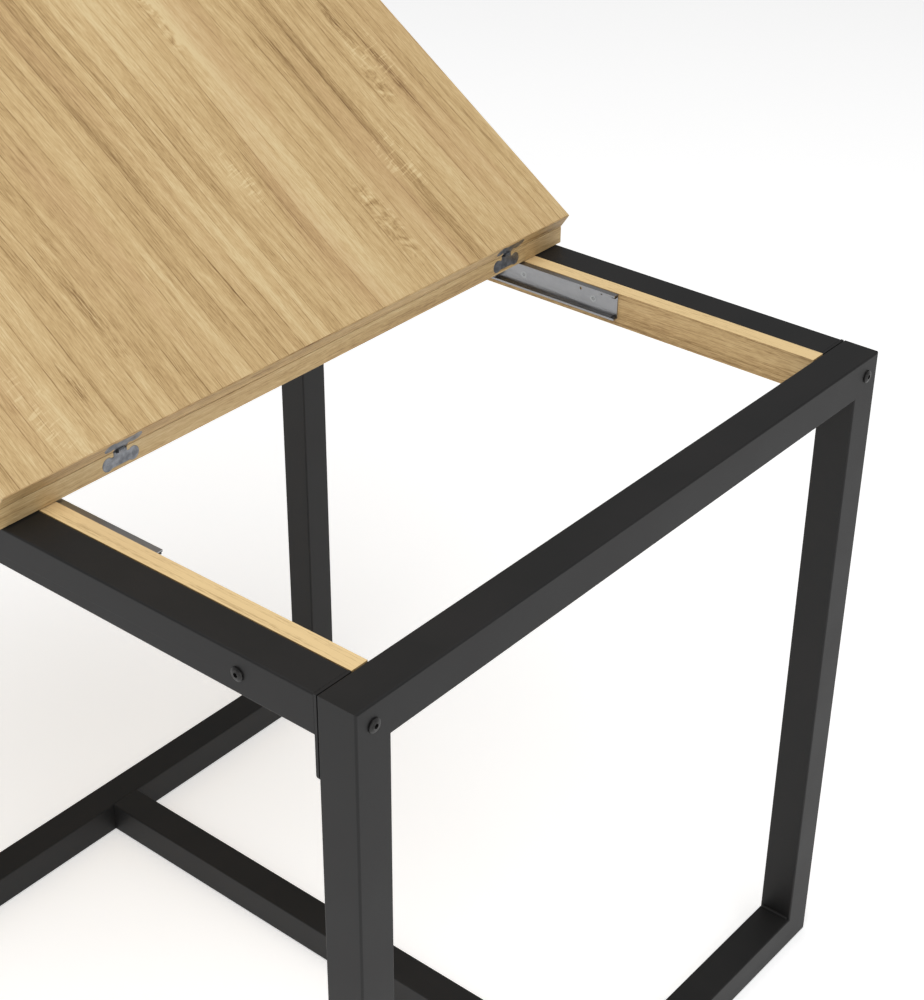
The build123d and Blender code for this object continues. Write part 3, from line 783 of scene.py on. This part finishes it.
def sunk_head(g):
    height = g.size("Head height")
    sockets = {"Vertices": 24, "Radius Top": g.size("Head radius"), "Radius Bottom": g.size("Shank radius"),
               "Depth": height}
    return g.move(g.node("GeometryNodeMeshCone", None, sockets), -height)


def cross_recess(g, top):
    width, depth = g.size("Recess width"), g.size("Recess depth")
    long = width * recess_length
    bars = [g.node("GeometryNodeMeshCube", None, {"Size": g.vector(*size)})
            for size in ((long, width, depth * 2.0), (width, long, depth * 2.0))]
    return [g.move(bar, top) for bar in bars]


def threaded_shank(g):
    radius, length, pitch = g.size("Shank radius"), g.size("Shank length"), g.size("Thread pitch")
    rod = g.move(g.cylinder(radius, length, vertices=16), length / -2.0)
    sockets = {"Resolution": 10, "Rotations": length / pitch * threaded_share, "Start Radius": radius,
               "End Radius": radius, "Height": length * threaded_share}
    helix = g.node("GeometryNodeCurveSpiral", None, sockets)
    wire = g.node("GeometryNodeCurvePrimitiveCircle", None, {"Resolution": 3, "Radius": pitch * wire_share})
    sockets = {"Curve": helix, "Profile Curve": wire, "Fill Caps": True}
    thread = g.node("GeometryNodeCurveToMesh", None, sockets)
    return g.join(rod, g.move(thread, length * -thread_start))


# %% The three fasteners
def button_bolt_tree():
    g = Grower("button_bolt", {"Head radius": 6 * MM, "Head height": 3 * MM, "Socket across": 4 * MM,
                               "Socket depth": 2 * MM, "Shank radius": 3 * MM, "Shank length": 20 * MM,
                               "Thread pitch": 1 * MM})
    hexagon = g.cylinder(g.size("Socket across") * (1 / sqrt(3)), g.size("Socket depth") * 2.0, 6)
    head = g.cut(domed_head(g), g.move(hexagon, g.size("Head height")))
    return g.on_each_point(g.join(head, threaded_shank(g)))


def wood_screw_tree(name, pan):
    g = Grower(name, {"Head radius": 3.6 * MM, "Head height": 2 * MM, "Recess width": 0.9 * MM,
                      "Recess depth": 1.2 * MM, "Shank radius": 1.75 * MM, "Shank length": 20 * MM,
                      "Thread pitch": 1.6 * MM})
    shape, top = (domed_head(g), g.size("Head height")) if pan else (sunk_head(g), 0.0)
    head = g.cut(shape, *cross_recess(g, top))
    return g.on_each_point(g.join(head, threaded_shank(g)))


trees = {"button_bolt": button_bolt_tree(), "sunk_screw": wood_screw_tree("sunk_screw", False),
         "pan_screw": wood_screw_tree("pan_screw", True)}

# %% Every bolt and screw in its place
fasteners = {
    "button_bolt": ("rail_bolts", "apron_bolts", "plate_bolts", "stretcher_bolts"),
    "sunk_screw": ("upper_hinge_screws", "lower_hinge_screws", "batten_screws", "outer_runner_screws"),
    "pan_screw": ("inner_runner_screws",),
}
# The shank is made thinner by the first, to leave room for its thread. A head that stands up by no more
# than the second keeps the height that its tree gives it.
thread_room, least_raised = 0.15 * MM, 0.1 * MM

for kind, nodes in fasteners.items():
    for node in nodes:
        seats = seats_of(node)
        first = seats[0]
        sizes = {"Head radius": float(first["head"]), "Shank radius": float(first["shank"]) - thread_room,
                 "Shank length": float(first["below"])}
        if first["above"] > least_raised:
            sizes["Head height"] = float(first["above"])
        grow(node + "_detailed", trees[kind], [seat["seat"] for seat in seats], [],
             [seat["facing"] for seat in seats], sizes, node)

# %% [markdown]
# ## Balls and weld beads
# The runners' balls are instances of one small sphere on their centres. A weld bead is a row of
# overlapping puddles along the corner it fills: the corner is a line, resampled to the puddles' spacing,
# with a flattened ball on each sample.

# %% Balls
def ball_tree():
    g = Grower("runner_ball", {"Radius": 1.3 * MM})
    ball = g.node("GeometryNodeMeshIcoSphere", None, {"Radius": g.size("Radius"), "Subdivisions": 3})
    return g.on_each_point(ball)


trees["runner_ball"] = ball_tree()
for side in ("left", "right"):
    for row in ("outer", "inner"):
        node = f"{side}_{row}_balls"
        balls = solids_of(node)
        radius = float(balls[0][:, 2].max() - balls[0][:, 2].min()) / 2
        centres = [(ball.min(0) + ball.max(0)) / 2 for ball in balls]
        grow(node + "_detailed", trees["runner_ball"], centres, [], [(0, 0, 1)] * len(balls),
             {"Radius": radius}, node, smooth=60)


# %% Weld beads
# A puddle's thickness along the bead, its least width, and how much wider it may come out, all by its
# radius
puddle_thickness, least_width, width_play = 0.5, 0.94, 0.08


def weld_tree():
    g = Grower("weld_bead", {"Radius": 3 * MM, "Puddle spacing": 1.7 * MM})
    path = g.node("GeometryNodeMeshToCurve", None, {"Mesh": g.size("Geometry")})
    sockets = {"Curve": path, "Length": g.size("Puddle spacing")}
    beads = g.node("GeometryNodeResampleCurve", {"mode": "LENGTH"}, sockets)
    ball = g.node("GeometryNodeMeshUVSphere", None, {"Segments": 20, "Rings": 10, "Radius": g.size("Radius")})
    number = g.node("GeometryNodeInputIndex")
    chance = g.node("ShaderNodeTexWhiteNoise", {"noise_dimensions": "1D"}, {"W": number})
    width = least_width + chance * width_play
    scale = g.vector(puddle_thickness, width, width)
    sockets = {"Points": beads, "Instance": ball, "Scale": scale}
    return g.finish(g.node("GeometryNodeInstanceOnPoints", None, sockets))


def weld_lines():
    """The inner corner line of each fillet, a little short of its ends."""
    points, lines = [], []
    for solid in solids_of("corner_welds"):
        low, high = solid.min(0), solid.max(0)
        corners = [(y, z) for y in (low[1], high[1]) for z in (low[2], high[2])]
        gaps = [min(np.hypot(p[1] - y, p[2] - z) for p in solid) for y, z in corners]
        y, z = corners[3 - int(np.argmax(gaps))]
        inset = 2.2 * MM
        lines.append((len(points), len(points) + 1))
        points += [(low[0] + inset, y, z), (high[0] - inset, y, z)]
    return points, lines


trees["weld_bead"] = weld_tree()
weld_points, weld_runs = weld_lines()
first_weld = solids_of("corner_welds")[0]
weld_radius = float(first_weld[:, 2].max() - first_weld[:, 2].min())
grow("corner_welds_detailed", trees["weld_bead"], weld_points, weld_runs, None, {"Radius": weld_radius},
     "corner_welds", smooth=60)

# %% [markdown]
# ## The studio
# A pale floor runs out to the horizon. The light comes from a large soft panel overhead and an evenly
# lit room, so shadows are faint and the steel has something pale to mirror. The floor glows a little,
# which keeps it nearly white.

# %% Floor
white = (1, 1, 1, 1)
floor_gap, floor_glow, room_light = 0.5 * MM, 0.38, 0.33

floor_mesh = bpy.data.meshes.new("studio_floor")
reach, sides = 40.0, 72
rim = [(reach * cos(2 * pi * i / sides), reach * sin(2 * pi * i / sides), 0) for i in range(sides)]
floor_mesh.from_pydata(rim, [], [tuple(range(sides))])
floor = bpy.data.objects.new("studio_floor", floor_mesh)
floor.location.z = cad_box[0][2] - floor_gap
bpy.context.scene.collection.objects.link(floor)
floor_paint = Finish("studio_floor", Roughness=0.9)
mottle = floor_paint.noise(floor_paint.place, 0.8)
floor_paint.colour(floor_paint.mix(mottle, swatch("f6f6f6"), swatch("fafafa")))
floor_paint.shader.inputs["Emission Color"].default_value = white
floor_paint.shader.inputs["Emission Strength"].default_value = floor_glow
floor_mesh.materials.append(floor_paint.material)

# %% Light
room = bpy.data.worlds.new("studio_room")
room.use_nodes = True
room.node_tree.nodes["Background"].inputs["Color"].default_value = white
room.node_tree.nodes["Background"].inputs["Strength"].default_value = room_light
bpy.context.scene.world = room


def soft_panel(name, place, aim, size, power):
    light = bpy.data.lights.new(name, "AREA")
    light.shape, light.size, light.energy = "SQUARE", size, power
    panel = bpy.data.objects.new(name, light)
    panel.location = place
    panel.rotation_euler = (Vector(aim) - Vector(place)).to_track_quat("-Z", "Y").to_euler()
    bpy.context.scene.collection.objects.link(panel)


soft_panel("overhead_panel", place=(1.0, -1.0, 4.2), aim=(0, 0, 0.5), size=6.0, power=190)
bpy.context.scene.view_settings.view_transform = "Standard"
